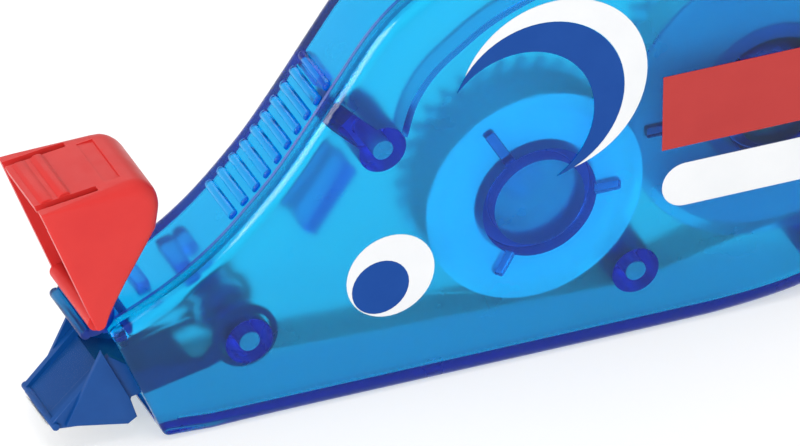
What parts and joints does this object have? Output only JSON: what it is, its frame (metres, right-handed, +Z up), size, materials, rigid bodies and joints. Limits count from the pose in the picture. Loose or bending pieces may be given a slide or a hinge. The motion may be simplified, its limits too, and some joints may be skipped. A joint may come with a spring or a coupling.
{
  "type": "correction tape roller",
  "caption": "Mouse-shaped translucent pocket correction tape roller with a flip tip cap, a nib tip, a geared tape supply spool and a take-up spool inside a two-part casing.",
  "frame": {"origin": "centre of the bounding box in plan, on the flat bottom edge that the roller stands on", "axes": "+X from the tip to the tail, +Y from the near (decorated) face to the far face, +Z up"},
  "size_m": [0.0892, 0.0102, 0.0445],
  "materials": {
    "casing_near": "translucent blue, gloss with a light frost",
    "casing_far": "translucent blue, fine frost",
    "tip_blue": "darker translucent blue, satin",
    "cap_red": "opaque orange-red, satin",
    "gear_blue": "moulded, satin",
    "clutch_white": "moulded, satin",
    "spool_blue": "moulded, satin",
    "flange_blue": "translucent blue",
    "takeup_pale": "translucent pale blue",
    "tape_white": "matt white correction film on carrier",
    "film_clear": "clear carrier film",
    "label_red": "printed, satin",
    "print_white": "printed, satin",
    "print_blue": "printed, satin"
  },
  "bodies": {
    "casing": {"near_shell": "casing_near", "far_shell": "casing_far", "applicator_tip": "tip_blue", "tape_run": "tape_white", "film_run": "film_clear", "red_label": "label_red", "white_label": "print_white", "eye_decal": "print_white", "pupil_decal": "print_blue", "ear_decal": "print_white", "ear_fill_decal": "print_blue"},
    "cap": {"tip_cap": "cap_red"},
    "supply_drive": {"supply_gear": "gear_blue", "clutch_ring": "clutch_white"},
    "supply_spool": {"supply_core": "spool_blue", "supply_flange": "flange_blue", "tape_roll": "tape_white"},
    "takeup_spool": {"takeup_gear": "gear_blue", "takeup_core": "takeup_pale", "takeup_flange": "takeup_pale", "film_roll": "film_clear"}
  },
  "joints": [
    {"name": "cap_hinge", "type": "hinge", "parent": "casing", "child": "cap", "pos_m": [-0.03918, 0.00004, 0.01355], "axis": [0, -1, 0], "range_deg": [0, 178.5]},
    {"name": "supply_spin", "type": "hinge", "parent": "casing", "child": "supply_drive", "pos_m": [0.02527, 0.00004, 0.02035], "axis": [0, 1, 0], "continuous": true},
    {"name": "clutch_slip", "type": "hinge", "parent": "supply_drive", "child": "supply_spool", "pos_m": [0.02527, 0.00004, 0.02035], "axis": [0, 1, 0], "continuous": true},
    {"name": "takeup_spin", "type": "hinge", "parent": "casing", "child": "takeup_spool", "pos_m": [0.00237, 0.00004, 0.01575], "axis": [0, 1, 0], "continuous": true}
  ],
  "couplings": [
    {"joint": "takeup_spin", "follows": "supply_spin", "ratio": -1.3636}
  ]
}
